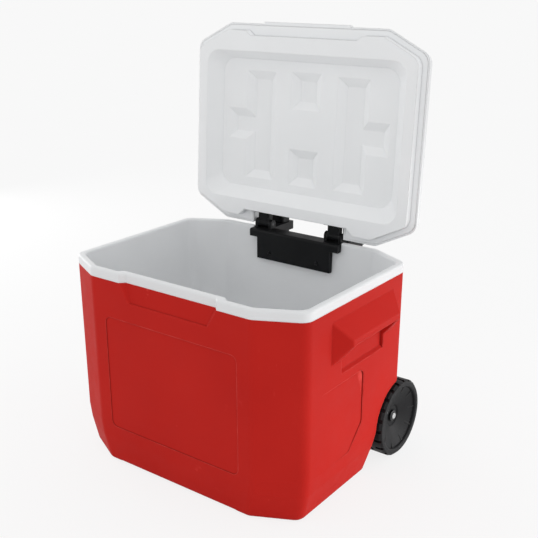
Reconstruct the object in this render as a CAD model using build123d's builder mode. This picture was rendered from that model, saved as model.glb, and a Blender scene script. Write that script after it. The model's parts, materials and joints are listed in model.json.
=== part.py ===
"""Cooler on wheels: a moulded box with an insulated lid, a pull-up tow handle and two rear wheels.

Millimetres, +Z up, the front faces -Y. The lid is drawn open, as it stands in use.
"""

import os
from math import cos, hypot, radians, sin

from build123d import *

os.makedirs("parts", exist_ok=True)

# Body
body_width = 510.0
body_depth = 386.0
seam_height = 361.0
base_gap = 5.0
corner_cut_x = 80.0
corner_cut_y = 40.0
corner_round = 22.0
wall_draft = 1.5
facet_height = 60.0
facet_side = 16.0
facet_end = 8.0
base_round = 10.0
facet_soft = 14.0
shell_wall = 3.0

# Runners under both sides
runner_inner = 138.0

# Rim and liner
rim_height = 17.0
rim_width = 12.0
rim_round = 4.0
liner_wall = 3.0
liner_taper = 20.0
liner_floor = 48.0
step_height = 118.0
step_gap = 16.0
foam_gap = 0.5
foam_headroom = 14.0

# Finger notch in the front, under the lid
notch_half = 108.0
notch_half_foot = 88.0
notch_drop = 33.0
notch_depth = 9.0
notch_slope = 9.0
notch_sill = 3.5
notch_lip = 3.0

# Shallow panels pressed into the walls
panel_depth = 1.2
front_panel_margin = 29.0
front_panel_top = 69.0
front_panel_foot = 77.0
panel_round = 12.0
side_panel_margin = 35.0
side_panel_gap = 54.0
side_panel_top = 139.0
side_panel_foot = 79.0
side_panel_cut = 42.0

# Carry handles moulded into the sides
grip_centre = 15.0
grip_length = 204.0
grip_drop = 18.0
grip_height = 82.0
grip_reach = 27.0
ridge_length = 154.0
ridge_drop = 58.0
ridge_height = 10.0
grip_round = 4.0
grip_cheek = 9.0
pocket_inset = 6.0
pocket_lip = 8.0
pocket_drop = 123.0
pocket_rise = 8.0

# Wheels and axle
axle_inset = 41.0
axle_radius = 6.0
axle_fit = 0.05
wheel_radius = 73.0
wheel_width = 40.0
wheel_proud = 6.0
wheel_lip_width = 10.0
wheel_lip_step = 5.0
wheel_lip_round = 4.0
wheel_web = 5.0
hub_radius = 15.0
hub_recess_radius = 19.0
hub_sink = 19.0
tread_blocks = 22
tread_depth = 3.2
tread_shoulder = 4.0
tread_gap = 7.0
tread_row = 0.42
wheel_ribs = 10
rib_width = 2.4
rib_height = 1.2
rib_start = 0.55
well_gap = 5.0
well_side_gap = 8.0
well_flare = 25.0
washer_thickness = 2.0
washer_radius = 13.0
nut_thickness = 4.0
nut_radius = 11.0
axle_end = 2.5
end_play = 0.4

# Lid
lid_angle = 93.5
lid_gap = 0.4
lid_height = 26.0
lid_draft = 7.0
lid_round = 9.0
lid_wall = 3.0
lid_lip_half = 95.0
lid_lip_reach = 3.5
lid_lip_height = 12.0
lid_lip_round = 6.0
lid_lip_slope = 8.0
pan_fit = 0.2
plug_depth = 15.0
plug_gap = 1.5
plug_notch_half = 129.0
plug_notch_slope = 12.0
plug_rear_half = 134.0
plug_rear_slope = 15.0
plug_rear_inset = 13.0
dish_margin_side = 34.0
dish_margin_front = 52.0
dish_margin_back = 47.0
dish_round = 28.0
dish_depth = 24.0
dish_slope_side = 24.0
dish_slope_front = 14.0
dish_slope_back = 23.0
channel_place = 0.47
channel_width = 0.31
channel_length = 0.73
branch_place = 0.64
branch_width = 0.38
branch_length = 0.21
centre_pocket_width = 0.30
centre_pocket_length = 0.244
centre_pocket_place = 0.254
pocket_depth = 10.0
pocket_slope = 16.0

# Hinges and their saddle on the rear rim
hinge_inset = 1.5
hinge_rise = 8.0
hinge_x = 82.0
hinge_pin_radius = 3.0
hinge_fit = 0.05
pin_head_radius = 5.0
pin_head = 2.5
barrel_radius = 8.0
leaf_width = 26.0
leaf_side_gap = 0.4
leaf_plate = 4.0
leaf_plate_height = 21.0
leaf_arm = 11.0
leaf_wing = 8.0
heel_near = 2.0
stop_gap = 0.3
ear_width = 6.0
hinge_bay_half = 106.0
saddle_half = 104.0
saddle_front_gap = 2.0
saddle_back = 8.0
saddle_height = 15.0
saddle_round = 4.0
apron_half = 86.0
apron_drop = 43.0
apron_seat = 0.15
saddle_screw_place = 0.67
screw_radius = 3.5
screw_head = 2.2

# Tow handle and its guides
post_x = 88.0
post_width = 28.0
post_depth = 22.0
post_standoff = 45.0
post_wall = 3.0
post_round = 4.0
handle_fit = 0.4
collar_height = 65.0
collar_wall = 1.0
stop_lip = 20.0
sleeve_wall = 3.0
sleeve_foot = 58.0
sleeve_rise = 18.0
arm_wall = 4.0
arm_height = 17.0
spine_half = 116.0
spine_gap = 8.0
spine_foot = 24.0
spine_drop = 6.0
spine_slope = 28.0
bracket_height = 34.0
bracket_floor = 4.0
bracket_plate = 6.0
bracket_screw_x = 34.0
grip_bar_height = 26.0
grip_bar_round = 9.0
grip_socket = 3.0
grip_pin_radius = 2.5
grip_gap = 26.0

# Drain in the left side
drain_front = 95.0
drain_height = 84.0
spout_bore = 8.0
spout_wall = 4.0
spout_flange_radius = 20.0
spout_flange = 4.0
drain_seat = 0.6
drain_pad = 1.6
drain_seal = 2.0
drain_nut_radius = 19.0
drain_nut = 6.0
strainer_bars = 3
strainer_bar = 2.2
strainer_depth = 2.0
plug_knob_radius = 15.0
plug_knob = 9.0
plug_fit = 0.05
plug_seal = 1.6

# Derived places
half_width = body_width / 2
half_depth = body_depth / 2
front_panel_half = half_width - corner_cut_x - front_panel_margin
front_panel_height = seam_height - front_panel_top - front_panel_foot
hinge_back = half_depth - hinge_inset
axle_back = half_depth - axle_inset
post_front = half_depth + post_standoff
dish_half = half_width - dish_margin_side
dish_front = half_depth - dish_margin_front
dish_back = half_depth - dish_margin_back
dish_length = dish_front + dish_back
facet_top = base_gap + facet_height
axle_height = wheel_radius
wheel_lip_radius = wheel_radius - tread_shoulder
rim_top = seam_height + rim_height
notch_foot = seam_height - notch_drop
ledge_height = rim_top + lid_gap
hinge_height = rim_top + hinge_rise
post_middle = post_front + post_depth / 2
post_back = post_front + post_depth
sleeve_clear = handle_fit + sleeve_wall
arm_back = post_back + sleeve_clear + arm_wall
body_y = (half_depth - arm_back) / 2
plug_inset = rim_width + plug_gap
bay_front = half_depth - plug_inset - plug_rear_inset
saddle_front = bay_front + saddle_front_gap
saddle_top = seam_height + saddle_height
well_radius = wheel_radius + well_gap
step_front = axle_back - well_radius - step_gap
side_panel_front = corner_cut_y + side_panel_margin - half_depth
side_panel_back = axle_back - well_radius - side_panel_gap
side_panel_height = seam_height - side_panel_top - side_panel_foot
side_panel_length = side_panel_back - side_panel_front
wheel_face = half_width + wheel_proud
wheel_inner = wheel_face - wheel_width
well_inner = wheel_inner - well_side_gap
hub_face = wheel_face - hub_sink
sleeve_top = saddle_top + sleeve_rise
grip_underside = sleeve_top + grip_gap
post_foot = sleeve_foot + stop_gap
spine_back = post_front - sleeve_clear - spine_gap
spine_top = seam_height - spine_drop
open_turn = radians(lid_angle)


def level(height):
    """Horizontal plane at a height above the floor, centred on the body."""
    return Plane((0, body_y, height))


def side_view(x):
    """Upright plane across the body: the sketch runs to the back and up."""
    return Plane(origin=(x, body_y, 0), x_dir=(0, 1, 0), z_dir=(1, 0, 0))


def front_view(y):
    """Upright plane along the body: the sketch runs to the right and up."""
    return Plane(origin=(0, body_y + y, 0), x_dir=(1, 0, 0), z_dir=(0, -1, 0))


def lid_level(height):
    """Plane parallel to the lid, at a height above its ledge, turned open with the lid."""
    behind = -hinge_back
    above = ledge_height - hinge_height
    origin = (
        0,
        body_y + hinge_back + behind * cos(open_turn) + above * sin(open_turn),
        hinge_height - behind * sin(open_turn) + above * cos(open_turn),
    )
    return Plane(origin=origin, x_dir=(1, 0, 0), z_dir=(0, sin(open_turn), cos(open_turn))).offset(height)


def lid_side_view(x):
    """Upright plane across the lid, in the lid's own turned frame."""
    base = lid_level(0)
    return Plane(origin=base.origin + base.x_dir * x, x_dir=base.y_dir, z_dir=base.x_dir)


def lid_wall_view(y):
    """Plane along the lid, square to it: the sketch runs to the right and out through its top."""
    base = lid_level(0)
    return Plane(origin=base.origin + base.y_dir * y, x_dir=base.x_dir, z_dir=-base.y_dir)


def body_outline(inset=0.0, narrow_x=0.0, narrow_y=0.0):
    """Outline of the body with cut corners, drawn in evenly by inset."""
    slant = hypot(corner_cut_x, corner_cut_y)
    cut_x = corner_cut_x - inset * (1 + (corner_cut_x - slant) / corner_cut_y)
    cut_y = corner_cut_y - inset * (1 + (corner_cut_y - slant) / corner_cut_x)
    reach_x = half_width - narrow_x - inset
    reach_y = half_depth - narrow_y - inset
    with BuildSketch() as outline:
        with BuildLine():
            Polyline(
                (reach_x, cut_y - reach_y),
                (reach_x, reach_y - cut_y),
                (reach_x - cut_x, reach_y),
                (cut_x - reach_x, reach_y),
                (-reach_x, reach_y - cut_y),
                (-reach_x, cut_y - reach_y),
                (cut_x - reach_x, -reach_y),
                (reach_x - cut_x, -reach_y),
                close=True,
            )
        make_face()
        fillet(outline.vertices(), corner_round)
    return outline.sketch


def edge_notch(half, slope, edge_y, inner_y):
    """Notch with slanted ends, from beyond an outline's edge to a line inside it."""
    beyond = edge_y + (edge_y - inner_y)
    with BuildSketch() as notch:
        with BuildLine():
            Polyline(
                (-half - slope, beyond),
                (half + slope, beyond),
                (half - slope, inner_y),
                (slope - half, inner_y),
                close=True,
            )
        make_face()
    return notch.sketch


def body_form(inset, base):
    """Solid of the whole body drawn in by inset, from a base height to the seam."""
    slope = facet_soft / (facet_top - base)
    lean = wall_draft * (1 - facet_soft / (seam_height - facet_top))
    with BuildPart() as form:
        with BuildSketch(level(base)):
            add(body_outline(inset, facet_side, facet_end))
        with BuildSketch(level(facet_top - facet_soft)):
            side_draw = wall_draft + slope * (facet_side - wall_draft)
            end_draw = wall_draft + slope * (facet_end - wall_draft)
            add(body_outline(inset, side_draw, end_draw))
        with BuildSketch(level(facet_top + facet_soft)):
            add(body_outline(inset, lean, lean))
        with BuildSketch(level(seam_height)):
            add(body_outline(inset))
        loft(ruled=True)
        fillet(form.faces().sort_by(Axis.Z)[0].edges(), base_round)
    return form.part


def spine_form(inset):
    """Solid of the upright spine on the back that carries the tow handle."""
    back = spine_back - inset
    foot = spine_foot + inset
    with BuildPart() as form:
        with BuildSketch(side_view(0)):
            with BuildLine():
                Polyline(
                    (half_depth - 2 * shell_wall, foot),
                    (half_depth, foot),
                    (back, foot + spine_slope),
                    (back, spine_top - inset),
                    (half_depth - 2 * shell_wall, spine_top - inset),
                    close=True,
                )
            make_face()
        extrude(amount=spine_half - inset, both=True)
        fillet(form.faces().sort_by(Axis.Y)[-1].edges().filter_by(Axis.Z), base_round - inset)
    return form.part


def wheel_wells(grow):
    """Spaces for both wheels in the rear lower corners, grown outwards by a wall."""
    rear = half_depth + wheel_radius
    with BuildPart() as wells:
        for side in (1, -1):
            with BuildSketch(side_view(side * (well_inner - grow))):
                with BuildLine():
                    Polyline(
                        (axle_back - well_radius, axle_height),
                        (axle_back - well_radius - well_flare, -base_gap),
                        (rear, -base_gap),
                        (rear, axle_height + well_radius),
                        (axle_back, axle_height + well_radius),
                        close=True,
                    )
                make_face()
                with Locations((axle_back, axle_height)):
                    Circle(well_radius)
                if grow:
                    offset(amount=grow, kind=Kind.INTERSECTION)
            extrude(amount=side * (half_width - well_inner + grow + wheel_proud))
    return wells.part


def side_grips():
    """Wedges that stand out from both sides, with a rounded ridge."""
    middle = seam_height - grip_drop - grip_height / 2
    ridge = seam_height - ridge_drop
    with BuildPart() as grips:
        for side in (1, -1):
            with BuildSketch(side_view(side * (half_width - shell_wall))):
                with Locations((grip_centre, middle)):
                    Rectangle(grip_length, grip_height)
            with BuildSketch(side_view(side * (half_width + grip_reach))):
                with Locations((grip_centre, ridge)):
                    Rectangle(ridge_length, ridge_height)
            loft(ruled=True)
        ends = grips.edges().filter_by(Plane.YZ).filter_by(lambda edge: abs(edge.center().X) < half_width)
        fillet(grips.edges() - ends, grip_round)
    return grips.part


def grip_pockets(grow):
    """Finger pockets under both ridges, grown inwards by a wall for their housings."""
    back_wall = half_width - pocket_inset - grow
    lip = half_width + grip_reach - pocket_lip
    ceiling = seam_height - ridge_drop - ridge_height / 2
    sill = seam_height - pocket_drop
    outside = half_width + 2 * grip_reach
    with BuildPart() as pockets:
        for side in (1, -1):
            with BuildSketch(front_view(grip_centre)):
                with BuildLine():
                    Polyline(
                        (side * half_width, sill - grow),
                        (side * back_wall, sill + pocket_inset - grow),
                        (side * back_wall, ceiling + pocket_rise + grow),
                        (side * lip, ceiling),
                        (side * outside, ceiling),
                        (side * outside, sill - grow),
                        close=True,
                    )
                make_face()
            extrude(amount=ridge_length / 2 - grip_cheek + grow, both=True)
    return pockets.part


def front_notch(grow):
    """Finger scoop under the front rim, deepest at the rim, grown inwards by a wall."""
    outer_y = -half_depth
    inner_y = notch_depth + grow - half_depth
    foot = notch_foot - grow
    with BuildPart() as notch:
        for y, draw_in in ((outer_y, -grow), (inner_y, notch_slope - grow)):
            with BuildSketch(front_view(y)):
                with BuildLine():
                    Polyline(
                        (draw_in - notch_half, rim_top),
                        (draw_in - notch_half, seam_height),
                        (draw_in - notch_half_foot, foot),
                        (notch_half_foot - draw_in, foot),
                        (notch_half - draw_in, seam_height),
                        (notch_half - draw_in, rim_top),
                        close=True,
                    )
                make_face()
        loft(ruled=True)
        # The back leans out to a narrow sill
        with BuildSketch(side_view(0)):
            with BuildLine():
                Polyline(
                    (inner_y, seam_height),
                    (notch_sill + grow - half_depth, foot),
                    (inner_y, foot),
                    close=True,
                )
            make_face()
        extrude(amount=body_width, both=True, mode=Mode.SUBTRACT)
    return notch.part


def liner_inset(height):
    """How far the liner's inside stands in from the body's outline at a height."""
    return rim_width + liner_taper * (rim_top - height) / (rim_top - liner_floor)


def cold_space(grow):
    """Solid of the space inside the liner, grown outwards by the liner's wall."""
    with BuildPart() as space:
        for height in (liner_floor - grow, rim_top):
            with BuildSketch(level(height)):
                add(body_outline(liner_inset(height) - grow))
        loft(ruled=True)
        with BuildSketch(side_view(0)):
            with Locations((step_front + grow, 0)):
                Rectangle(body_depth, liner_floor + step_height - grow, align=(Align.MIN, Align.MIN))
        extrude(amount=body_width, both=True, mode=Mode.SUBTRACT)
        bulge = notch_half + liner_wall - grow
        bulge_y = rim_width + notch_depth - grow - half_depth
        with BuildSketch(level(rim_top)):
            with BuildLine():
                Polyline(
                    (-bulge - notch_slope, -body_depth),
                    (bulge + notch_slope, -body_depth),
                    (bulge + notch_slope, bulge_y - notch_depth),
                    (bulge, bulge_y),
                    (-bulge, bulge_y),
                    (-bulge - notch_slope, bulge_y - notch_depth),
                    close=True,
                )
            make_face()
        extrude(amount=-rim_height - notch_drop - 2 * shell_wall + grow, mode=Mode.SUBTRACT)
    return space.part


def lid_hollow():
    """Solid of the space inside the lid's top, clear of the bay for the hinges."""
    with BuildPart() as space:
        with BuildSketch(lid_level(0)):
            add(body_outline(lid_wall))
        with BuildSketch(lid_level(lid_height - lid_wall)):
            add(body_outline(lid_draft + lid_wall))
        loft(ruled=True)
        fillet(space.faces().sort_by(lid_up)[-1].edges(), lid_round - lid_wall)
        with BuildSketch(lid_level(0)):
            with Locations((0, bay_front - lid_wall)):
                Rectangle(2 * (hinge_bay_half + lid_wall), body_depth, align=(Align.CENTER, Align.MIN))
        extrude(amount=lid_height, mode=Mode.SUBTRACT)
    return space.part


def plug_outline(inset):
    """Outline of the lid's plug, notched at the front and round the hinges."""
    edge = half_depth - plug_inset - inset
    front_line = notch_depth + plug_inset + inset - half_depth
    with BuildSketch() as outline:
        add(body_outline(plug_inset + inset))
        add(
            edge_notch(plug_notch_half + inset, plug_notch_slope, -edge, front_line), mode=Mode.SUBTRACT
        )
        add(
            edge_notch(plug_rear_half + inset, plug_rear_slope, edge, bay_front - inset), mode=Mode.SUBTRACT
        )
    return outline.sketch


def pan_form(grow):
    """Solid of the dish in the lid's underside with the pockets in its floor, grown by a wall."""
    dish_floor = dish_depth - plug_depth
    with BuildPart() as form:
        with BuildSketch(lid_level(-plug_depth)):
            with Locations((0, (dish_back - dish_front) / 2)):
                RectangleRounded(2 * (dish_half + grow), dish_length + 2 * grow, dish_round)
        with BuildSketch(lid_level(dish_floor + grow)):
            floor_front = dish_front - dish_slope_front + grow
            floor_back = dish_back - dish_slope_back + grow
            with Locations((0, (floor_back - floor_front) / 2)):
                floor_half = dish_half - dish_slope_side + grow
                RectangleRounded(2 * floor_half, floor_front + floor_back, dish_round)
        loft(ruled=True)
        for x, y, width, length in lid_pockets:
            for height, draw_in in ((dish_floor, 0), (dish_floor + pocket_depth + grow, pocket_slope)):
                widen = 2 * (grow - draw_in)
                with BuildSketch(lid_level(height)):
                    with Locations((x * dish_half, y * dish_length)):
                        Rectangle(width * dish_half + widen, length * dish_length + widen)
            loft(ruled=True)
    return form.part


lid_up = Axis(lid_level(0).origin, lid_level(0).z_dir)
lid_pockets = (
    (channel_place, 0, channel_width, channel_length),
    (-channel_place, 0, channel_width, channel_length),
    (branch_place, 0, branch_width, branch_length),
    (-branch_place, 0, branch_width, branch_length),
    (0, centre_pocket_place, centre_pocket_width, centre_pocket_length),
    (0, -centre_pocket_place, centre_pocket_width, centre_pocket_length),
)
wells = wheel_wells(0)
pockets = grip_pockets(0)
front_cut = front_notch(0)
shell_space = body_form(shell_wall, base_gap + shell_wall)
spine_space = spine_form(shell_wall)
axle_plane = Plane(origin=(0, body_y + axle_back, axle_height), x_dir=(0, 1, 0), z_dir=(1, 0, 0))
axle_axis = Axis((0, body_y + axle_back, axle_height), (1, 0, 0))
drain_face = half_width - wall_draft - drain_seat
drain_plane = Plane(
    origin=(-drain_face, body_y - drain_front, drain_height), x_dir=(0, 1, 0), z_dir=(-1, 0, 0)
)
spout_radius = spout_bore + spout_wall

# Screws that hold the handle bracket to the shell
bracket_foot = sleeve_foot - bracket_floor
with BuildPart() as bracket_screws:
    for x in (bracket_screw_x, -bracket_screw_x):
        with BuildSketch(front_view(spine_back + bracket_plate)):
            with Locations((x, bracket_foot + bracket_height / 2)):
                Circle(screw_radius)
        extrude(amount=-screw_head)
        with BuildSketch(front_view(spine_back + bracket_plate)):
            with Locations((x, bracket_foot + bracket_height / 2)):
                Circle(screw_radius / 2)
        extrude(amount=bracket_plate + shell_wall)
bracket_screws.part.label = "bracket_screws"
export_step(bracket_screws.part, "parts/bracket_screws.step")

# Red outer shell
well_housings = wheel_wells(shell_wall)
pocket_housings = grip_pockets(shell_wall)
notch_housing = front_notch(shell_wall)
outside_form = body_form(0, 0)
carry_wedges = side_grips()
spine_solid = spine_form(0)
housings = (well_housings + pocket_housings + notch_housing) & outside_form
front_tilt = Plane(
    origin=(0, body_y - half_depth, seam_height),
    x_dir=(1, 0, 0),
    z_dir=(0, facet_top - seam_height, -wall_draft),
)
with BuildPart() as outer_shell:
    add(outside_form)
    add(spine_solid)
    add(shell_space, mode=Mode.SUBTRACT)
    add(spine_space, mode=Mode.SUBTRACT)
    with BuildSketch(level(seam_height)):
        add(body_outline(shell_wall))
    extrude(amount=-base_round, mode=Mode.SUBTRACT)
    add(housings)
    add(carry_wedges)
    add(wells, mode=Mode.SUBTRACT)
    add(pockets, mode=Mode.SUBTRACT)
    add(front_cut, mode=Mode.SUBTRACT)
    notch_edges = outer_shell.edges().filter_by_position(
        Axis.Z, notch_foot - notch_lip, seam_height - notch_lip
    )
    fillet(
        notch_edges.filter_by_position(
            Axis.Y, body_y - half_depth - wall_draft, body_y - half_depth + wall_draft
        ).filter_by_position(Axis.X, -notch_half, notch_half),
        notch_lip,
    )
    # Underside raised between the runners
    with BuildSketch(front_view(0)):
        with BuildLine():
            Polyline(
                (-runner_inner - base_gap, 0),
                (runner_inner + base_gap, 0),
                (runner_inner - base_gap, base_gap),
                (base_gap - runner_inner, base_gap),
                close=True,
            )
        make_face()
    extrude(amount=body_depth, both=True, mode=Mode.SUBTRACT)
    # Shallow panels in the front and the sides
    with BuildSketch(front_tilt):
        with Locations((0, -front_panel_top - front_panel_height / 2)):
            RectangleRounded(2 * front_panel_half, front_panel_height, panel_round)
    extrude(amount=-panel_depth, mode=Mode.SUBTRACT)
    for side in (1, -1):
        panel_foot = seam_height - side_panel_top - side_panel_height
        # Each side panel fades out towards the front
        panel_plane = Plane(
            origin=(side * (half_width - wall_draft / 2), body_y + side_panel_front, 0),
            x_dir=(-side * (panel_depth + wall_draft / 2), side_panel_length, 0),
            z_dir=(side * side_panel_length, panel_depth + wall_draft / 2, 0),
        )
        with BuildSketch(panel_plane):
            with BuildLine():
                Polyline(
                    (0, side * (seam_height - side_panel_top)),
                    (side_panel_length, side * (seam_height - side_panel_top)),
                    (side_panel_length, side * (panel_foot + side_panel_cut)),
                    (side_panel_length - side_panel_cut, side * panel_foot),
                    (0, side * panel_foot),
                    close=True,
                )
            make_face()
            fillet(vertices(), panel_round)
        extrude(amount=panel_depth + wall_draft, mode=Mode.SUBTRACT)
    # Holes for the axle and the drain
    with BuildSketch(axle_plane):
        Circle(axle_radius)
    extrude(amount=half_width, both=True, mode=Mode.SUBTRACT)
    with BuildSketch(drain_plane):
        Circle(spout_flange_radius + drain_seal)
    extrude(amount=wall_draft + drain_seal, mode=Mode.SUBTRACT)
    with BuildSketch(drain_plane):
        Circle(spout_radius)
    extrude(amount=-rim_width, mode=Mode.SUBTRACT)
    add(bracket_screws.part, mode=Mode.SUBTRACT)
outer_shell.part.label = "outer_shell"
export_step(outer_shell.part, "parts/outer_shell.step")

# White liner with its rim
cold = cold_space(0)
liner_outside = cold_space(liner_wall)
drain_wall = half_width - liner_inset(drain_height)
drain_depth = drain_face - drain_wall + drain_pad
apron_foot = seam_height - apron_drop
screw_height = seam_height - apron_drop * saddle_screw_place
saddle_screw_length = half_depth - liner_inset(screw_height) + liner_wall - saddle_front
with BuildPart() as saddle_screws:
    for x in (hinge_x - leaf_width, leaf_width - hinge_x):
        with BuildSketch(Plane(origin=(x, body_y + saddle_front, screw_height), z_dir=(0, -1, 0))):
            Circle(screw_radius)
        extrude(amount=screw_head)
        with BuildSketch(Plane(origin=(x, body_y + saddle_front, screw_height), z_dir=(0, 1, 0))):
            Circle(screw_radius / 2)
        extrude(amount=saddle_screw_length)
saddle_screws.part.label = "saddle_screws"
export_step(saddle_screws.part, "parts/saddle_screws.step")

with BuildPart() as inner_liner:
    with BuildSketch(level(seam_height)):
        add(body_outline())
        add(edge_notch(notch_half, notch_slope, -half_depth, notch_depth - half_depth), mode=Mode.SUBTRACT)
    extrude(amount=rim_height)
    with BuildSketch(level(seam_height)):
        add(body_outline(liner_wall))
        add(
            edge_notch(
                notch_half + liner_wall, notch_slope, -half_depth, notch_depth + liner_wall - half_depth
            ),
            mode=Mode.SUBTRACT,
        )
    extrude(amount=rim_height - liner_wall, mode=Mode.SUBTRACT)
    add(liner_outside)
    add(cold, mode=Mode.SUBTRACT)
    with BuildSketch(drain_plane.offset(-drain_depth)):
        Circle(drain_nut_radius + liner_wall)
    extrude(amount=drain_pad + liner_wall / 2)
    fillet(inner_liner.faces().sort_by(Axis.Z)[-1].edges(), rim_round)
    # Bay in the rear rim for the hinge saddle
    with BuildSketch(level(seam_height)):
        with Locations((0, half_depth)):
            Rectangle(2 * saddle_half, 2 * (half_depth - saddle_front))
    extrude(amount=rim_height, mode=Mode.SUBTRACT)
    with BuildSketch(drain_plane.offset(-drain_depth)):
        Circle(spout_radius)
    extrude(amount=drain_depth, mode=Mode.SUBTRACT)
    add(saddle_screws.part, mode=Mode.SUBTRACT)
inner_liner.part.label = "inner_liner"
export_step(inner_liner.part, "parts/inner_liner.step")

# Foam between the shell and the liner
foam_fill = shell_wall + foam_gap
foam_body = body_form(foam_fill, base_gap + foam_fill)
foam_spine = spine_form(foam_fill)
foam_cuts = (
    cold_space(liner_wall + foam_gap),
    wheel_wells(foam_fill),
    grip_pockets(foam_fill),
    front_notch(foam_fill),
)
with BuildPart() as foam_insulation:
    add(foam_body)
    add(foam_spine)
    for cut in foam_cuts:
        add(cut, mode=Mode.SUBTRACT)
    with BuildSketch(level(seam_height - foam_headroom)):
        Rectangle(2 * body_width, 3 * body_depth)
    extrude(amount=foam_headroom, mode=Mode.SUBTRACT)
    with BuildSketch(axle_plane):
        Circle(axle_radius + foam_gap)
    extrude(amount=half_width, both=True, mode=Mode.SUBTRACT)
    with BuildSketch(drain_plane):
        Circle(spout_radius + foam_gap)
    extrude(amount=-drain_depth, mode=Mode.SUBTRACT)
foam_insulation.part.label = "foam_insulation"
export_step(foam_insulation.part, "parts/foam_insulation.step")

# Drain spout, its seal and nut, and the plug that pulls out of it
with BuildPart() as drain_seal_ring:
    with BuildSketch(drain_plane):
        Circle(spout_flange_radius)
        Circle(spout_radius, mode=Mode.SUBTRACT)
    extrude(amount=drain_seal)
drain_seal_ring.part.label = "drain_seal"
export_step(drain_seal_ring.part, "parts/drain_seal.step")

with BuildPart() as drain_spout:
    with BuildSketch(drain_plane.offset(drain_seal)):
        Circle(spout_flange_radius)
    extrude(amount=spout_flange)
    fillet(drain_spout.faces().sort_by(Axis.X)[0].edges(), spout_flange / 3)
    with BuildSketch(drain_plane.offset(drain_seal)):
        Circle(spout_radius)
    extrude(amount=-drain_seal - drain_depth - drain_nut)
    with BuildSketch(drain_plane.offset(-drain_depth - drain_nut)):
        Circle(spout_bore)
    extrude(amount=drain_depth + drain_nut + drain_seal + spout_flange, mode=Mode.SUBTRACT)
    # Strainer bars across the inner end keep ice out of the bore
    with BuildSketch(drain_plane.offset(-drain_depth - drain_nut)):
        with GridLocations(0, 2 * spout_bore / strainer_bars, 1, strainer_bars):
            Rectangle(2 * spout_bore + spout_wall / 2, strainer_bar)
    extrude(amount=strainer_depth)
drain_spout.part.label = "drain_spout"
export_step(drain_spout.part, "parts/drain_spout.step")

with BuildPart() as drain_nut_ring:
    with BuildSketch(drain_plane.offset(-drain_depth)):
        RegularPolygon(drain_nut_radius, 6)
        Circle(spout_radius, mode=Mode.SUBTRACT)
    extrude(amount=-drain_nut)
drain_nut_ring.part.label = "drain_nut"
export_step(drain_nut_ring.part, "parts/drain_nut.step")

plug_face = drain_seal + spout_flange + end_play
with BuildPart() as drain_plug:
    with BuildSketch(drain_plane.offset(plug_face + plug_seal)):
        Circle(plug_knob_radius)
    extrude(amount=plug_knob)
    fillet(drain_plug.faces().sort_by(Axis.X)[0].edges(), plug_knob / 3)
    with BuildSketch(drain_plane.offset(plug_face + plug_seal)):
        Circle(spout_bore - plug_fit)
    extrude(amount=-plug_face - plug_seal - drain_depth / 2)
    with BuildSketch(drain_plane.offset(plug_face + plug_seal + plug_knob / 2)):
        with Locations((0, plug_knob_radius), (0, -plug_knob_radius)):
            Rectangle(2 * plug_knob_radius, plug_knob_radius)
    extrude(amount=plug_knob, mode=Mode.SUBTRACT)
drain_plug.part.label = "drain_plug"
export_step(drain_plug.part, "parts/drain_plug.step")

with BuildPart() as plug_seal_ring:
    with BuildSketch(drain_plane.offset(plug_face)):
        Circle(plug_knob_radius - plug_seal)
        Circle(spout_bore - plug_fit, mode=Mode.SUBTRACT)
    extrude(amount=plug_seal)
plug_seal_ring.part.label = "plug_seal"
export_step(plug_seal_ring.part, "parts/plug_seal.step")

# Axle, washers and push nuts
axle_reach = hub_face + nut_thickness + axle_end
with BuildPart() as axle:
    with BuildSketch(axle_plane):
        Circle(axle_radius)
    extrude(amount=axle_reach, both=True)
    chamfer(axle.faces().filter_by(Plane.YZ).edges(), axle_radius / 6)
axle.part.label = "axle"
export_step(axle.part, "parts/axle.step")

with BuildPart() as axle_washers:
    for side in (1, -1):
        with BuildSketch(axle_plane.offset(side * well_inner)):
            Circle(washer_radius)
            Circle(axle_radius, mode=Mode.SUBTRACT)
        extrude(amount=side * washer_thickness)
axle_washers.part.label = "axle_washers"
export_step(axle_washers.part, "parts/axle_washers.step")

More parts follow.
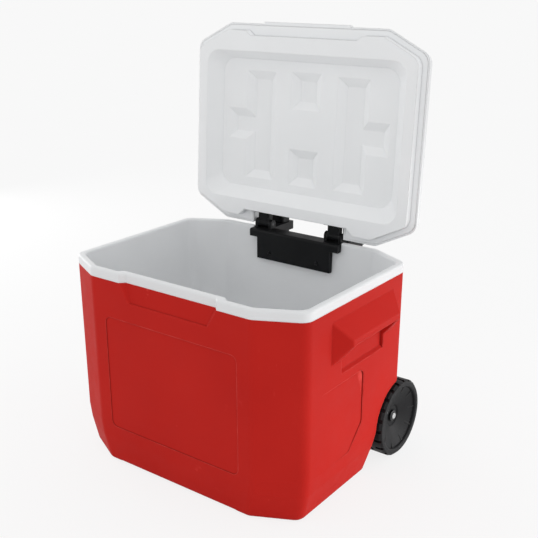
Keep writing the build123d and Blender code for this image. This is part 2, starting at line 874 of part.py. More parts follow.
# Wheels: a dished one-piece moulding with a block tread, and the nut that holds each on the axle
dish_rim = wheel_lip_radius - wheel_lip_width
dish_foot = hub_recess_radius + rib_width
cone_low = hub_face + rib_width
cone_high = wheel_face - wheel_lip_step
rib_root_x = cone_low + rib_start * (cone_high - cone_low)
rib_root = dish_foot + rib_start * (dish_rim - dish_foot)
hub_inner = well_inner + washer_thickness + end_play
for name, side in (("right", 1), ("left", -1)):
    with BuildPart() as wheel:
        with BuildSketch(Plane(axle_plane.origin, x_dir=(1, 0, 0), z_dir=(0, -1, 0))) as profile:
            with BuildLine():
                Polyline(
                    (side * hub_inner, axle_radius + axle_fit),
                    (side * hub_face, axle_radius + axle_fit),
                    (side * hub_face, hub_recess_radius),
                    (side * cone_low, dish_foot),
                    (side * cone_high, dish_rim),
                    (side * wheel_face, dish_rim + rib_width / 2),
                    (side * wheel_face, wheel_lip_radius),
                    (side * (wheel_face - tread_shoulder), wheel_radius),
                    (side * (wheel_inner + tread_shoulder), wheel_radius),
                    (side * wheel_inner, wheel_lip_radius),
                    (side * wheel_inner, dish_rim),
                    (side * (cone_high - wheel_web), dish_rim),
                    (side * (hub_face - wheel_web), dish_foot),
                    (side * (hub_face - wheel_web), hub_radius),
                    (side * hub_inner, hub_radius),
                    close=True,
                )
            make_face()
            lip_corner = profile.vertices().sort_by_distance((side * wheel_face, dish_rim))[0]
            fillet(lip_corner, wheel_lip_round)
        revolve(axis=axle_axis)
        # Two staggered rows of gaps between the tread blocks
        for face, start in ((wheel_face, 0), (wheel_inner, 180 / tread_blocks)):
            with BuildSketch(axle_plane.offset(side * face)):
                with PolarLocations(wheel_radius, tread_blocks, start_angle=start):
                    Rectangle(2 * tread_depth, tread_gap)
            inward = -side if face > hub_face else side
            extrude(amount=inward * wheel_width * tread_row, mode=Mode.SUBTRACT)
        # Thin ribs that run out down the dish
        for step in range(wheel_ribs):
            turn = radians(360 / wheel_ribs * (step + 0.5))
            across = (0, cos(turn), sin(turn))
            with BuildSketch(Plane(axle_plane.origin, x_dir=(1, 0, 0), z_dir=across)):
                with BuildLine():
                    Polyline(
                        (side * rib_root_x, rib_root),
                        (side * (cone_high + rib_height), dish_rim),
                        (side * (cone_high - wheel_web / 2), dish_rim),
                        close=True,
                    )
                make_face()
            extrude(amount=rib_width / 2, both=True)
    wheel.part.label = f"wheel_{name}"
    export_step(wheel.part, f"parts/wheel_{name}.step")

    with BuildPart() as push_nut:
        with BuildSketch(axle_plane.offset(side * (hub_face + end_play))):
            Circle(nut_radius)
        extrude(amount=side * nut_thickness)
        outer_face = push_nut.faces().sort_by(Axis.X)[-1 if side > 0 else 0]
        fillet(outer_face.edges(), nut_thickness / 2)
        with BuildSketch(axle_plane.offset(side * hub_face)):
            Circle(axle_radius)
        extrude(amount=side * 2 * nut_thickness, mode=Mode.SUBTRACT)
    push_nut.part.label = f"push_nut_{name}"
    export_step(push_nut.part, f"parts/push_nut_{name}.step")

# Hinge saddle on the rear rim, with ears for the hinges and arms for the handle sleeves
ear_inner = leaf_width / 2 + leaf_side_gap
ear_drop = hinge_height - saddle_top + saddle_round
arm_reach = arm_back - half_depth - shell_wall / 2
arm_half = post_width / 2 + sleeve_clear + arm_wall
sleeve_size = (post_width + 2 * sleeve_clear, post_depth + 2 * sleeve_clear)
sleeve_round = post_round + sleeve_clear
with BuildPart() as hinge_saddle:
    with BuildSketch(side_view(0)):
        with Locations((saddle_front, seam_height)):
            Rectangle(
                half_depth + saddle_back - saddle_front, saddle_height, align=(Align.MIN, Align.MIN)
            )
    extrude(amount=saddle_half, both=True)
    fillet(hinge_saddle.faces().sort_by(Axis.Z)[-1].edges().filter_by(Axis.X), saddle_round)
    with BuildSketch(side_view(0)):
        with BuildLine():
            Polyline(
                (saddle_front, seam_height + saddle_round),
                (saddle_front, apron_foot),
                (half_depth - liner_inset(apron_foot) - apron_seat, apron_foot),
                (half_depth - liner_inset(seam_height) - apron_seat, seam_height),
                (half_depth - liner_inset(seam_height) - apron_seat, seam_height + saddle_round),
                close=True,
            )
        make_face()
    extrude(amount=apron_half, both=True)
    for side in (1, -1):
        for near in (ear_inner, -ear_inner - ear_width):
            with BuildSketch(side_view(side * hinge_x + near)):
                with Locations((hinge_back, hinge_height)):
                    Circle(barrel_radius)
                    Rectangle(2 * barrel_radius, ear_drop, align=(Align.CENTER, Align.MAX))
            extrude(amount=ear_width)
        with BuildSketch(level(saddle_top - arm_height)):
            with Locations((side * post_x, arm_back)):
                Rectangle(2 * arm_half, arm_reach, align=(Align.CENTER, Align.MAX))
        extrude(amount=arm_height)
        with BuildSketch(level(saddle_top - arm_height)):
            with Locations((side * post_x, post_middle)):
                RectangleRounded(*sleeve_size, sleeve_round)
        extrude(amount=arm_height, mode=Mode.SUBTRACT)
        with BuildSketch(Plane(origin=(side * hinge_x, body_y + hinge_back, hinge_height), z_dir=(1, 0, 0))):
            Circle(hinge_pin_radius)
        extrude(amount=ear_inner + ear_width, both=True, mode=Mode.SUBTRACT)
    add(saddle_screws.part, mode=Mode.SUBTRACT)
hinge_saddle.part.label = "hinge_saddle"
export_step(hinge_saddle.part, "parts/hinge_saddle.step")

# Hinge pins and the leaves that carry the lid
lid_hinge = hinge_height - ledge_height
leaf_foot = saddle_top - ledge_height + 2 * leaf_side_gap
leaf_plate_half = leaf_width / 2 + leaf_wing
leaf_screw_x = leaf_width / 2 + leaf_wing / 2
leaf_screw_height = leaf_foot + leaf_plate_height / 2
with BuildPart() as leaf_screws:
    for side in (1, -1):
        for x in (side * hinge_x + leaf_screw_x, side * hinge_x - leaf_screw_x):
            with BuildSketch(lid_wall_view(bay_front + leaf_plate)):
                with Locations((x, leaf_screw_height)):
                    Circle(screw_radius)
            extrude(amount=-screw_head)
            with BuildSketch(lid_wall_view(bay_front + leaf_plate)):
                with Locations((x, leaf_screw_height)):
                    Circle(screw_radius / 2)
            extrude(amount=leaf_plate + lid_wall)
leaf_screws.part.label = "leaf_screws"
export_step(leaf_screws.part, "parts/leaf_screws.step")

for name, side in (("right", 1), ("left", -1)):
    pin_plane = Plane(origin=(side * hinge_x, body_y + hinge_back, hinge_height), z_dir=(side, 0, 0))
    with BuildPart() as hinge_pin:
        with BuildSketch(pin_plane):
            Circle(hinge_pin_radius)
        extrude(amount=ear_inner + ear_width, both=True)
        with BuildSketch(pin_plane.offset(ear_inner + ear_width)):
            Circle(pin_head_radius)
        extrude(amount=pin_head)
        fillet(hinge_pin.faces().sort_by(Axis.X)[-1 if side > 0 else 0].edges(), pin_head / 3)
    hinge_pin.part.label = f"hinge_pin_{name}"
    export_step(hinge_pin.part, f"parts/hinge_pin_{name}.step")

    with BuildPart() as hinge_leaf:
        with BuildSketch(lid_side_view(side * hinge_x)):
            with Locations((hinge_back, lid_hinge)):
                Circle(barrel_radius)
            with Locations((bay_front, lid_hinge)):
                Rectangle(hinge_back - bay_front, leaf_arm, align=(Align.MIN, Align.CENTER))
        extrude(amount=leaf_width / 2, both=True)
        # Heel that lands on the saddle when the lid stands open
        with BuildSketch(side_view(side * hinge_x)):
            with Locations((hinge_back + heel_near, hinge_height)):
                Rectangle(
                    barrel_radius - heel_near,
                    hinge_height - saddle_top - stop_gap,
                    align=(Align.MIN, Align.MAX),
                )
        extrude(amount=leaf_width / 2, both=True)
        with BuildSketch(lid_side_view(side * hinge_x)):
            with Locations((bay_front, leaf_foot)):
                Rectangle(leaf_plate, leaf_plate_height, align=(Align.MIN, Align.MIN))
        extrude(amount=leaf_plate_half, both=True)
        with BuildSketch(lid_side_view(side * hinge_x)):
            with Locations((hinge_back, lid_hinge)):
                Circle(hinge_pin_radius + hinge_fit)
        extrude(amount=leaf_width, both=True, mode=Mode.SUBTRACT)
        add(leaf_screws.part, mode=Mode.SUBTRACT)
    hinge_leaf.part.label = f"hinge_leaf_{name}"
    export_step(hinge_leaf.part, f"parts/hinge_leaf_{name}.step")

# Lid: a top, a pan that plugs the rim, and foam between them
lid_inside = lid_hollow()
with BuildPart() as lid_top:
    with BuildSketch(lid_level(0)):
        add(body_outline())
    with BuildSketch(lid_level(lid_height)):
        add(body_outline(lid_draft))
    loft(ruled=True)
    fillet(lid_top.faces().sort_by(lid_up)[-1].edges(), lid_round)
    with BuildSketch(lid_level(0)):
        with Locations((0, -half_depth)):
            RectangleRounded(2 * lid_lip_half, 2 * lid_lip_reach + 2 * lid_lip_round, lid_lip_round)
        with Locations((0, -half_depth - lid_lip_reach)):
            Rectangle(body_width, body_depth, align=(Align.CENTER, Align.MAX), mode=Mode.SUBTRACT)
    extrude(amount=lid_lip_height, taper=lid_lip_slope)
    add(lid_inside, mode=Mode.SUBTRACT)
    with BuildSketch(lid_level(0)):
        with Locations((0, bay_front)):
            Rectangle(2 * hinge_bay_half, body_depth, align=(Align.CENTER, Align.MIN))
    extrude(amount=lid_height, mode=Mode.SUBTRACT)
    add(leaf_screws.part, mode=Mode.SUBTRACT)
lid_top.part.label = "lid_top"
export_step(lid_top.part, "parts/lid_top.step")

dish = pan_form(0)
dish_outside = pan_form(lid_wall)
with BuildPart() as lid_pan:
    with BuildSketch(lid_level(0)):
        add(body_outline(lid_wall + pan_fit))
    with BuildSketch(lid_level(lid_wall)):
        add(body_outline(lid_wall + pan_fit + lid_wall * lid_draft / (lid_height - lid_wall)))
    loft(ruled=True)
    with BuildSketch(lid_level(-plug_depth)):
        add(plug_outline(0))
    extrude(amount=plug_depth)
    with BuildSketch(lid_level(lid_wall - plug_depth)):
        add(plug_outline(lid_wall))
    extrude(amount=plug_depth, mode=Mode.SUBTRACT)
    add(dish_outside)
    add(dish, mode=Mode.SUBTRACT)
    # Clearance round the bay wall of the top
    with BuildSketch(lid_level(0)):
        with Locations((0, bay_front - lid_wall - pan_fit)):
            Rectangle(
                2 * (hinge_bay_half + lid_wall + pan_fit), body_depth, align=(Align.CENTER, Align.MIN)
            )
    extrude(amount=lid_height, mode=Mode.SUBTRACT)
lid_pan.part.label = "lid_pan"
export_step(lid_pan.part, "parts/lid_pan.step")

lid_foam_cut = pan_form(lid_wall + foam_gap)
with BuildPart() as lid_foam:
    with BuildSketch(lid_level(dish_depth - plug_depth + lid_wall + foam_gap)):
        add(body_outline(lid_draft + lid_round + lid_wall))
        with Locations((0, bay_front - lid_wall - 2 * foam_gap)):
            Rectangle(
                2 * (hinge_bay_half + lid_wall + 2 * foam_gap),
                body_depth,
                align=(Align.CENTER, Align.MIN),
                mode=Mode.SUBTRACT,
            )
    extrude(amount=lid_height - dish_depth + plug_depth - 2 * (lid_wall + foam_gap))
    add(lid_foam_cut, mode=Mode.SUBTRACT)
lid_foam.part.label = "lid_foam"
export_step(lid_foam.part, "parts/lid_foam.step")

# Sleeves on the back that guide the tow handle, and the bracket at their foot
wide_bore = collar_wall + handle_fit
wide_size = (post_width + 2 * wide_bore, post_depth + 2 * wide_bore)
guide_size = (post_width + 2 * handle_fit, post_depth + 2 * handle_fit)
for name, side in (("right", 1), ("left", -1)):
    with BuildPart() as handle_sleeve:
        with BuildSketch(level(sleeve_foot)):
            with Locations((side * post_x, post_middle)):
                RectangleRounded(*sleeve_size, sleeve_round)
        extrude(amount=sleeve_top - sleeve_foot)
        with BuildSketch(level(sleeve_foot)):
            with Locations((side * post_x, post_middle)):
                RectangleRounded(*wide_size, post_round + wide_bore)
        extrude(amount=sleeve_top - stop_lip - sleeve_foot, mode=Mode.SUBTRACT)
        with BuildSketch(level(sleeve_foot)):
            with Locations((side * post_x, post_middle)):
                RectangleRounded(*guide_size, post_round + handle_fit)
        extrude(amount=sleeve_top - sleeve_foot, mode=Mode.SUBTRACT)
    handle_sleeve.part.label = f"handle_sleeve_{name}"
    export_step(handle_sleeve.part, f"parts/handle_sleeve_{name}.step")

with BuildPart() as handle_bracket:
    with BuildSketch(level(bracket_foot)):
        with Locations((0, spine_back)):
            Rectangle(2 * post_x, bracket_plate, align=(Align.CENTER, Align.MIN))
        with Locations((post_x, spine_back), (-post_x, spine_back)):
            Rectangle(2 * arm_half, arm_back - spine_back, align=(Align.CENTER, Align.MIN))
    extrude(amount=bracket_height)
    fillet(handle_bracket.faces().sort_by(Axis.Y)[-2:].edges().filter_by(Axis.Z), arm_wall)
    with BuildSketch(level(sleeve_foot)):
        with Locations((post_x, post_middle), (-post_x, post_middle)):
            RectangleRounded(*sleeve_size, sleeve_round)
    extrude(amount=bracket_height, mode=Mode.SUBTRACT)
    add(bracket_screws.part, mode=Mode.SUBTRACT)
handle_bracket.part.label = "handle_bracket"
export_step(handle_bracket.part, "parts/handle_bracket.step")

# Tow handle: two hollow posts with stop collars, a grip across their tops and its pins
post_top = grip_underside + grip_bar_height / 2
pin_height = (grip_underside + post_top) / 2
with BuildPart() as grip_pins:
    with BuildSketch(front_view(post_middle)):
        with Locations((post_x, pin_height), (-post_x, pin_height)):
            Circle(grip_pin_radius)
    extrude(amount=post_depth / 2 + grip_socket, both=True)
grip_pins.part.label = "grip_pins"
export_step(grip_pins.part, "parts/grip_pins.step")

for name, side in (("right", 1), ("left", -1)):
    with BuildPart() as handle_post:
        with BuildSketch(level(post_foot)):
            with Locations((side * post_x, post_middle)):
                RectangleRounded(post_width, post_depth, post_round)
        extrude(amount=post_top - post_foot)
        with BuildSketch(level(post_foot)):
            with Locations((side * post_x, post_middle)):
                RectangleRounded(
                    post_width + 2 * collar_wall, post_depth + 2 * collar_wall, post_round + collar_wall
                )
        extrude(amount=collar_height)
        with BuildSketch(level(post_foot)):
            with Locations((side * post_x, post_middle)):
                RectangleRounded(post_width - 2 * post_wall, post_depth - 2 * post_wall, post_round / 2)
        extrude(amount=post_top - post_foot, mode=Mode.SUBTRACT)
        add(grip_pins.part, mode=Mode.SUBTRACT)
    handle_post.part.label = f"handle_post_{name}"
    export_step(handle_post.part, f"parts/handle_post_{name}.step")

with BuildPart() as handle_grip:
    with BuildSketch(level(grip_underside)):
        with Locations((0, post_middle)):
            Rectangle(2 * post_x + post_width + 2 * grip_socket, post_depth + 2 * grip_socket)
    extrude(amount=grip_bar_height)
    fillet(handle_grip.edges(), grip_bar_round)
    with BuildSketch(level(grip_underside)):
        with Locations((post_x, post_middle), (-post_x, post_middle)):
            RectangleRounded(post_width, post_depth, post_round)
    extrude(amount=grip_bar_height / 2, mode=Mode.SUBTRACT)
    add(grip_pins.part, mode=Mode.SUBTRACT)
handle_grip.part.label = "handle_grip"
export_step(handle_grip.part, "parts/handle_grip.step")
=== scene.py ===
"""Cooler on wheels: finishes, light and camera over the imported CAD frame.

Metres, +Z up, the front faces -Y. Colours are linear.
"""

import json
import math

import bpy
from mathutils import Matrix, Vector

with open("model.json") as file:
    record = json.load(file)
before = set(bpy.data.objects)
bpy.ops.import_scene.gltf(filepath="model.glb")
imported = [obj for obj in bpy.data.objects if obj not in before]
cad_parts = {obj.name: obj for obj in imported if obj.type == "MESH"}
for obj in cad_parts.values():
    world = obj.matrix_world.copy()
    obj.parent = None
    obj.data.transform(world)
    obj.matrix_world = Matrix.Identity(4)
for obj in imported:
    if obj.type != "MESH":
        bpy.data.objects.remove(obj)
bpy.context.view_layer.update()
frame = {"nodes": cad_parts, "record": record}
nodes = frame["nodes"]


# Node helpers


def new_group(name, inputs, outputs):
    """Empty shader node group with named inputs (name, kind, default) and outputs (name, kind)."""
    group = bpy.data.node_groups.new(name, "ShaderNodeTree")
    for label, kind, default in inputs:
        socket = group.interface.new_socket(label, in_out="INPUT", socket_type=kind)
        socket.default_value = default
    for label, kind in outputs:
        group.interface.new_socket(label, in_out="OUTPUT", socket_type=kind)
    return group, group.nodes.new("NodeGroupInput"), group.nodes.new("NodeGroupOutput")


def put(tree, kind, **settings):
    """New node with plain settings on it."""
    node = tree.nodes.new(kind)
    for key, value in settings.items():
        setattr(node, key, value)
    return node


def feed(tree, source, target):
    """Link from a node's output to another node's input."""
    tree.links.new(source, target)


def object_place(tree):
    """Place on the object itself, in metres, so that a pattern moves with its piece."""
    return put(tree, "ShaderNodeTexCoord").outputs["Object"]


def noise(tree, place, scale, detail, roughness=0.5):
    """Noise pattern whose scale is a number or another node's output."""
    node = put(tree, "ShaderNodeTexNoise")
    feed(tree, place, node.inputs["Vector"])
    if isinstance(scale, (int, float)):
        node.inputs["Scale"].default_value = scale
    else:
        feed(tree, scale, node.inputs["Scale"])
    node.inputs["Detail"].default_value = detail
    node.inputs["Roughness"].default_value = roughness
    return node.outputs[0]


def remap(tree, source, low, high, to_low=0.0, to_high=1.0):
    """Values from low to high spread over to_low to to_high, and held there."""
    node = put(tree, "ShaderNodeMapRange", clamp=True)
    feed(tree, source, node.inputs["Value"])
    for label, value in zip(("From Min", "From Max", "To Min", "To Max"), (low, high, to_low, to_high)):
        node.inputs[label].default_value = value
    return node.outputs["Result"]


def scaled(tree, mask, least, most):
    """Mask of 0 to 1 turned into values from least to most."""
    return remap(tree, mask, low=0.0, high=1.0, to_low=least, to_high=most)


def arithmetic(tree, operation, a, b):
    """Sum, product or other of two outputs or numbers."""
    node = put(tree, "ShaderNodeMath", operation=operation)
    for socket, value in zip(node.inputs, (a, b)):
        if isinstance(value, (int, float)):
            socket.default_value = value
        else:
            feed(tree, value, socket)
    return node.outputs["Value"]


def blend_colours(tree, amount, first, second):
    """Mix of two colours, each an output or a plain colour."""
    node = put(tree, "ShaderNodeMix", data_type="RGBA")
    feed(tree, amount, node.inputs["Factor"])
    colour_inputs = [socket for socket in node.inputs if socket.type == "RGBA"]
    for socket, value in zip(colour_inputs, (first, second)):
        if isinstance(value, tuple):
            socket.default_value = (*value, 1.0)
        else:
            feed(tree, value, socket)
    return next(socket for socket in node.outputs if socket.type == "RGBA")


# Shared effects


def make_moulded_grain():
    """Pebbled skin of a moulded plastic: its height, a slow mottle and a patchy gloss."""
    pebble_smoothness = 0.6
    waves_per_metre = 60.0
    wave_share = 0.35
    patches_per_metre = 28.0
    group, ins, outs = new_group(
        "moulded grain",
        [("Pebbles per Metre", "NodeSocketFloat", 900.0), ("Mottle per Metre", "NodeSocketFloat", 7.0)],
        [("Height", "NodeSocketFloat"), ("Mottle", "NodeSocketFloat"), ("Gloss", "NodeSocketFloat")],
    )
    place = object_place(group)
    pebbles = put(group, "ShaderNodeTexVoronoi", feature="SMOOTH_F1")
    feed(group, place, pebbles.inputs["Vector"])
    feed(group, ins.outputs["Pebbles per Metre"], pebbles.inputs["Scale"])
    pebbles.inputs["Smoothness"].default_value = pebble_smoothness
    waves = noise(group, place, waves_per_metre, detail=3.0)
    low_waves = arithmetic(group, "MULTIPLY", waves, wave_share)
    feed(group, arithmetic(group, "ADD", low_waves, pebbles.outputs["Distance"]), outs.inputs["Height"])
    mottle = noise(group, place, ins.outputs["Mottle per Metre"], detail=4.0)
    feed(group, remap(group, mottle, low=0.3, high=0.7), outs.inputs["Mottle"])
    patches = noise(group, place, patches_per_metre, detail=5.0, roughness=0.62)
    feed(group, remap(group, patches, low=0.32, high=0.68), outs.inputs["Gloss"])
    return group


def make_soft_edges():
    """Normal that rolls over the edges, a mask of painted highlights on outer edges, broken up in patches,
    and a mask of painted shade in inner corners.
    """
    least_highlight = 0.25
    group, ins, outs = new_group(
        "soft edges",
        [
            ("Radius", "NodeSocketFloat", 0.002),
            ("Crest", "NodeSocketFloat", 0.001),
            ("Corner", "NodeSocketFloat", 0.003),
            ("Broken per Metre", "NodeSocketFloat", 45.0),
        ],
        [("Normal", "NodeSocketVector"), ("Edge Highlight", "NodeSocketFloat"), ("Shade", "NodeSocketFloat")],
    )
    rolled = put(group, "ShaderNodeBevel", samples=6)
    feed(group, ins.outputs["Radius"], rolled.inputs["Radius"])
    feed(group, rolled.outputs["Normal"], outs.inputs["Normal"])
    # Looking into the wall from an outer edge, the next face is close by: this marks outer edges for a
    # painted highlight
    within = put(group, "ShaderNodeAmbientOcclusion", inside=True, only_local=True, samples=8)
    feed(group, ins.outputs["Crest"], within.inputs["Distance"])
    edge = remap(group, within.outputs["AO"], low=0.99, high=0.85)
    broken = noise(group, object_place(group), ins.outputs["Broken per Metre"], detail=4.0, roughness=0.6)
    patchy_highlight = remap(group, broken, low=0.35, high=0.65, to_low=least_highlight)
    feed(group, arithmetic(group, "MULTIPLY", edge, patchy_highlight), outs.inputs["Edge Highlight"])
    # Looking out of an inner corner, the next face is close by
    around = put(group, "ShaderNodeAmbientOcclusion", samples=8)
    feed(group, ins.outputs["Corner"], around.inputs["Distance"])
    feed(group, remap(group, around.outputs["AO"], low=0.92, high=0.50), outs.inputs["Shade"])
    return group


def make_light_scuffs():
    """Fine scratches and rubbed patches left by use, as a mask."""
    stroke_turn = (0.5, 0.3, 0.7)
    stroke_stretch = (1.0, 9.0, 1.0)
    patches_per_metre = 11.0
    group, ins, outs = new_group(
        "light scuffs",
        [("Strokes per Metre", "NodeSocketFloat", 40.0), ("Amount", "NodeSocketFloat", 0.5)],
        [("Scuff", "NodeSocketFloat")],
    )
    place = object_place(group)
    turned = put(group, "ShaderNodeMapping")
    feed(group, place, turned.inputs["Vector"])
    turned.inputs["Rotation"].default_value = stroke_turn
    turned.inputs["Scale"].default_value = stroke_stretch
    along = turned.outputs["Vector"]
    strokes = noise(group, along, ins.outputs["Strokes per Metre"], detail=3.0, roughness=0.7)
    patches = noise(group, place, patches_per_metre, detail=3.0)
    thin = remap(group, strokes, low=0.64, high=0.72)
    where = remap(group, patches, low=0.5, high=0.68)
    mask = arithmetic(group, "MULTIPLY", arithmetic(group, "MULTIPLY", thin, where), ins.outputs["Amount"])
    feed(group, mask, outs.inputs["Scuff"])
    return group


grain_effect = make_moulded_grain()
edge_effect = make_soft_edges()
scuff_effect = make_light_scuffs()


def place_effect(tree, group, **values):
    """Shared effect placed in a material with its own values."""
    node = put(tree, "ShaderNodeGroup", node_tree=group)
    for label, value in values.items():
        node.inputs[label.replace("_", " ")].default_value = value
    return node


# Finishes


def new_material(name):
    """Material with only its output and a Principled shader."""
    material = bpy.data.materials.new(name)
    material.use_nodes = True
    tree = material.node_tree
    return material, tree, tree.nodes["Principled BSDF"]


def roughen(tree, shader, height, distance, strength, normal):
    """Fine relief on a surface, over its rolled edges."""
    bump = put(tree, "ShaderNodeBump")
    bump.inputs["Strength"].default_value = strength
    bump.inputs["Distance"].default_value = distance
    feed(tree, height, bump.inputs["Height"])
    feed(tree, normal, bump.inputs["Normal"])
    feed(tree, bump.outputs["Normal"], shader.inputs["Normal"])


def moulded_plastic(name, deep, plain, highlight_and_worn, shade, rough, sheen, edge, crest, relief, pebbles, highlight_and_wear):
    """Moulded plastic: mottled, with a painted highlight on outer edges, paler scuffs, painted shade in
    inner corners, a patchy gloss and a pebbled skin.
    """
    scuff_paling = 0.4
    scuff_dulling = 0.15
    corner_shading = 0.8
    smoother = 0.05
    rougher = 0.06
    skin_depth = 0.0004
    material, tree, shader = new_material(name)
    grain = place_effect(tree, grain_effect, Pebbles_per_Metre=pebbles)
    edges = place_effect(tree, edge_effect, Radius=edge, Crest=crest)
    scuff = place_effect(tree, scuff_effect, Amount=highlight_and_wear).outputs["Scuff"]
    colour = blend_colours(tree, grain.outputs["Mottle"], deep, plain)
    # The paler colour on outer edges is a painted highlight; on scuffs it is real wear
    patchy_highlight = arithmetic(tree, "MULTIPLY", edges.outputs["Edge Highlight"], highlight_and_wear)
    highlight_and_scuffs = arithmetic(tree, "MAXIMUM", patchy_highlight, arithmetic(tree, "MULTIPLY", scuff, scuff_paling))
    colour = blend_colours(tree, highlight_and_scuffs, colour, highlight_and_worn)
    corners = arithmetic(tree, "MULTIPLY", edges.outputs["Shade"], corner_shading)
    feed(tree, blend_colours(tree, corners, colour, shade), shader.inputs["Base Color"])
    patchy = scaled(tree, grain.outputs["Gloss"], rough - smoother, rough + rougher)
    dulled = arithmetic(tree, "MULTIPLY", scuff, scuff_dulling)
    feed(tree, arithmetic(tree, "ADD", patchy, dulled), shader.inputs["Roughness"])
    roughen(tree, shader, grain.outputs["Height"], skin_depth, relief, edges.outputs["Normal"])
    shader.inputs["Specular IOR Level"].default_value = sheen
    return material


def make_red_shell():
    """Red of the outer shell, with a low sheen."""
    return moulded_plastic(
        "red_shell",
        deep=(0.50, 0.016, 0.0115),
        plain=(0.54, 0.019, 0.0135),
        # Paler red of the painted edge highlights and of the scuffs
        highlight_and_worn=(0.80, 0.09, 0.075),
        shade=(0.30, 0.010, 0.0075),
        rough=0.56,
        sheen=0.06,
        edge=0.004,
        crest=0.0013,
        relief=0.10,
        pebbles=1100.0,
        highlight_and_wear=0.7,
    )


def white_plastic(name, deep, plain):
    """White moulded plastic that lets a little light through."""
    light_depth = 0.004
    material = moulded_plastic(
        name,
        deep=deep,
        plain=plain,
        highlight_and_worn=(0.96, 0.96, 0.96),
        shade=(0.72, 0.73, 0.74),
        rough=0.40,
        sheen=0.15,
        edge=0.003,
        crest=0.0012,
        relief=0.06,
        pebbles=900.0,
        highlight_and_wear=0.4,
    )
    shader = material.node_tree.nodes["Principled BSDF"]
    shader.inputs["Subsurface Weight"].default_value = 0.12
    shader.inputs["Subsurface Radius"].default_value = (light_depth, light_depth, light_depth)
    shader.inputs["Subsurface Scale"].default_value = 0.5
    return material


def make_black_fittings():
    """Black of the hinges and the tow handle."""
    return moulded_plastic(
        "black_fittings",
        deep=(0.006, 0.0065, 0.007),
        plain=(0.011, 0.0115, 0.0125),
        highlight_and_worn=(0.060, 0.060, 0.063),
        shade=(0.003, 0.003, 0.003),
        rough=0.46,
        sheen=0.13,
        edge=0.0012,
        crest=0.001,
        relief=0.16,
        pebbles=1400.0,
        highlight_and_wear=0.45,
    )


def make_wheel_plastic():
    """Slightly greyer and rougher black of the wheels."""
    return moulded_plastic(
        "wheel_plastic",
        deep=(0.008, 0.008, 0.009),
        plain=(0.014, 0.014, 0.015),
        highlight_and_worn=(0.075, 0.074, 0.073),
        shade=(0.004, 0.004, 0.004),
        rough=0.50,
        sheen=0.13,
        edge=0.0012,
        crest=0.001,
        relief=0.22,
        pebbles=1000.0,
        highlight_and_wear=0.5,
    )


def plated_steel(name, dark, light):
    """Plated steel: spangled tone and fine turning marks."""
    spangles_per_metre = 420.0
    marks_per_metre = 900.0
    mark_depth = 0.0002
    material, tree, shader = new_material(name)
    place = object_place(tree)
    spangle = put(tree, "ShaderNodeTexVoronoi")
    feed(tree, place, spangle.inputs["Vector"])
    spangle.inputs["Scale"].default_value = spangles_per_metre
    tone = remap(tree, spangle.outputs["Distance"], low=0.0, high=0.8)
    feed(tree, blend_colours(tree, tone, dark, light), shader.inputs["Base Color"])
    marks = noise(tree, place, marks_per_metre, detail=3.0)
    marked = remap(tree, marks, low=0.3, high=0.7, to_low=0.22, to_high=0.42)
    feed(tree, marked, shader.inputs["Roughness"])
    shader.inputs["Metallic"].default_value = 1.0
    edges = place_effect(tree, edge_effect, Radius=0.0006)
    roughen(tree, shader, marks, mark_depth, strength=0.15, normal=edges.outputs["Normal"])
    return material


def make_foam():
    """Blown foam: small closed cells."""
    cell_wall = (0.84, 0.76, 0.50)
    cell_hollow = (0.66, 0.56, 0.33)
    cells_per_metre = 420.0
    cell_depth = 0.0008
    material, tree, shader = new_material("blown_foam")
    cells = put(tree, "ShaderNodeTexVoronoi", feature="SMOOTH_F1")
    feed(tree, object_place(tree), cells.inputs["Vector"])
    cells.inputs["Scale"].default_value = cells_per_metre
    distance = cells.outputs["Distance"]
    tone = remap(tree, distance, low=0.1, high=0.7)
    feed(tree, blend_colours(tree, tone, cell_wall, cell_hollow), shader.inputs["Base Color"])
    dull = remap(tree, distance, low=0.0, high=0.8, to_low=0.75, to_high=0.95)
    feed(tree, dull, shader.inputs["Roughness"])
    edges = place_effect(tree, edge_effect, Radius=0.002)
    roughen(tree, shader, distance, cell_depth, strength=0.4, normal=edges.outputs["Normal"])
    return material


def make_seal_rubber():
    """Black sealing rubber with a bloom on it."""
    rubber = (0.012, 0.012, 0.012)
    bloom = (0.030, 0.030, 0.031)
    skin_depth = 0.0003
    material, tree, shader = new_material("seal_rubber")
    grain = place_effect(tree, grain_effect, Pebbles_per_Metre=1800.0, Mottle_per_Metre=60.0)
    feed(tree, blend_colours(tree, grain.outputs["Mottle"], rubber, bloom), shader.inputs["Base Color"])
    patchy = scaled(tree, grain.outputs["Gloss"], least=0.62, most=0.80)
    feed(tree, patchy, shader.inputs["Roughness"])
    edges = place_effect(tree, edge_effect, Radius=0.0005)
    height = grain.outputs["Height"]
    roughen(tree, shader, height, skin_depth, strength=0.15, normal=edges.outputs["Normal"])
    return material


# A node takes the finish of its material slot, unless it has its own
finish_of_slot = {
    "red_plastic": make_red_shell(),
    "white_plastic": white_plastic("white_lid", deep=(0.90, 0.912, 0.922), plain=(0.93, 0.942, 0.952)),
    "black_plastic": make_black_fittings(),
    "wheel_plastic": make_wheel_plastic(),
    "steel": plated_steel("zinc_steel", dark=(0.46, 0.46, 0.47), light=(0.66, 0.66, 0.66)),
    "foam": make_foam(),
    "rubber": make_seal_rubber(),
}
black_steel = plated_steel("black_steel", dark=(0.025, 0.025, 0.026), light=(0.050, 0.050, 0.052))
finish_of_node = {
    # The liner has a darker copy of the white plastic: painted shade that keeps its lit rim from glaring
    "inner_liner": white_plastic("white_liner_painted_shade", deep=(0.79, 0.80, 0.81), plain=(0.83, 0.84, 0.85)),
    "saddle_screws": black_steel,
    "hinge_pin_left": black_steel,
    "hinge_pin_right": black_steel,
    "push_nut_left": black_steel,
    "push_nut_right": black_steel,
}
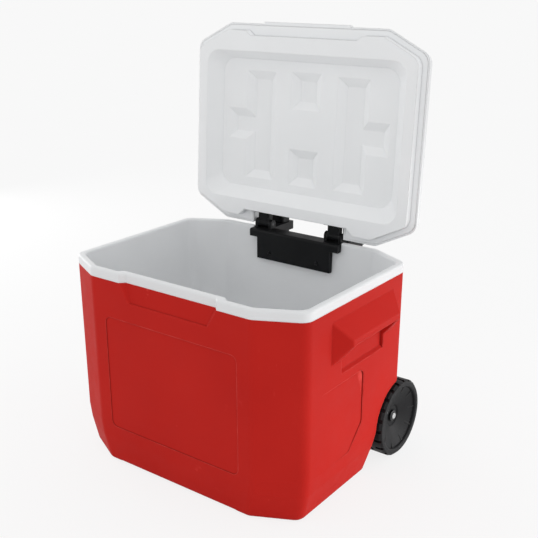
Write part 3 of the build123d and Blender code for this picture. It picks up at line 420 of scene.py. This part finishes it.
slot_of_node = {row["node"]: row["material_slot"] for row in frame["record"]["subparts"]}
for name, node in nodes.items():
    node.data.materials.clear()
    node.data.materials.append(finish_of_node.get(name, finish_of_slot[slot_of_node[name]]))


# Studio: pale floor, soft light from all round and the camera


def looked_at(tree):
    """1 where the camera, a reflection or a clear piece looks at the studio, 0 where it only gives light."""
    rays = put(tree, "ShaderNodeLightPath")
    seen = arithmetic(tree, "MAXIMUM", rays.outputs["Is Camera Ray"], rays.outputs["Is Glossy Ray"])
    return arithmetic(tree, "MAXIMUM", seen, rays.outputs["Is Transmission Ray"])


def make_floor():
    """Wide pale floor. The camera and reflections see it nearly white, and it keeps the cooler's shadow."""
    floor_size = 90.0
    pale = (0.84, 0.84, 0.84)
    paler = (0.87, 0.87, 0.87)
    glow_colour = (0.98, 0.98, 0.98, 1.0)
    glow_share = 0.84
    bpy.ops.mesh.primitive_plane_add(size=floor_size)
    floor = bpy.context.object
    floor.name = "studio_floor"
    material, tree, shader = new_material("pale_floor")
    tree.nodes.remove(shader)
    faint = noise(tree, object_place(tree), scale=3.0, detail=3.0)
    lit = put(tree, "ShaderNodeBsdfDiffuse")
    feed(tree, blend_colours(tree, faint, pale, paler), lit.inputs["Color"])
    glow = put(tree, "ShaderNodeEmission")
    glow.inputs["Color"].default_value = glow_colour
    mix = put(tree, "ShaderNodeMixShader")
    feed(tree, arithmetic(tree, "MULTIPLY", looked_at(tree), glow_share), mix.inputs["Fac"])
    feed(tree, lit.outputs["BSDF"], mix.inputs[1])
    feed(tree, glow.outputs["Emission"], mix.inputs[2])
    feed(tree, mix.outputs["Shader"], tree.nodes["Material Output"].inputs["Surface"])
    floor.data.materials.append(material)


def stand(name, held, place, aim):
    """Lamp or camera put at a place and turned to face a point."""
    holder = bpy.data.objects.new(name, held)
    bpy.context.scene.collection.objects.link(holder)
    holder.location = place
    holder.rotation_mode = "QUATERNION"
    holder.rotation_quaternion = (Vector(aim) - Vector(place)).to_track_quat("-Z", "Y")
    return holder


def softbox(name, place, aim, width, height, power, spread=180.0):
    """Large soft lamp that faces a point, with a grid that narrows its spread in degrees."""
    lamp = bpy.data.lights.new(name, "AREA")
    lamp.shape = "RECTANGLE"
    lamp.size = width
    lamp.size_y = height
    lamp.energy = power
    lamp.spread = math.radians(spread)
    stand(name, lamp, place, aim)


def make_light():
    """Even light from all round, and three soft lamps that set the sides apart from the front."""
    given_light = 0.85
    seen_light = 0.97
    world = bpy.data.worlds.new("studio")
    bpy.context.scene.world = world
    world.use_nodes = True
    tree = world.node_tree
    sky = tree.nodes["Background"]
    sky.inputs["Color"].default_value = (1.0, 1.0, 1.0, 1.0)
    feed(tree, scaled(tree, looked_at(tree), given_light, seen_light), sky.inputs["Strength"])
    softbox(
        "left_softbox",
        place=(-2.2, 0.2, 0.5),
        aim=(-0.2, -0.1, 0.2),
        width=1.2,
        height=0.8,
        power=14.0,
    )
    softbox(
        "right_softbox",
        place=(2.3, -0.5, 0.6),
        aim=(0.2, 0.0, 0.2),
        width=0.8,
        height=1.0,
        power=2.0,
    )
    # Low behind the right side, so that the side is brightest towards the wheel
    softbox(
        "low_softbox",
        place=(1.35, 0.95, 0.14),
        aim=(0.25, 0.10, 0.08),
        width=1.0,
        height=0.24,
        power=1.2,
        spread=50.0,
    )


def make_camera():
    """Camera that sees the cooler as the photograph shows it."""
    picture_pixels = 538.0
    focal_pixels = 886.07
    place = (0.9426, -1.2225, 0.8650)
    aim = (0.0, 0.05516, 0.33065)
    lens = bpy.data.cameras.new("camera")
    lens.sensor_width = 36.0
    lens.lens = focal_pixels * lens.sensor_width / picture_pixels
    bpy.context.scene.camera = stand("camera", lens, place, aim)


make_floor()
make_light()
make_camera()
bpy.context.scene.view_settings.view_transform = "Standard"
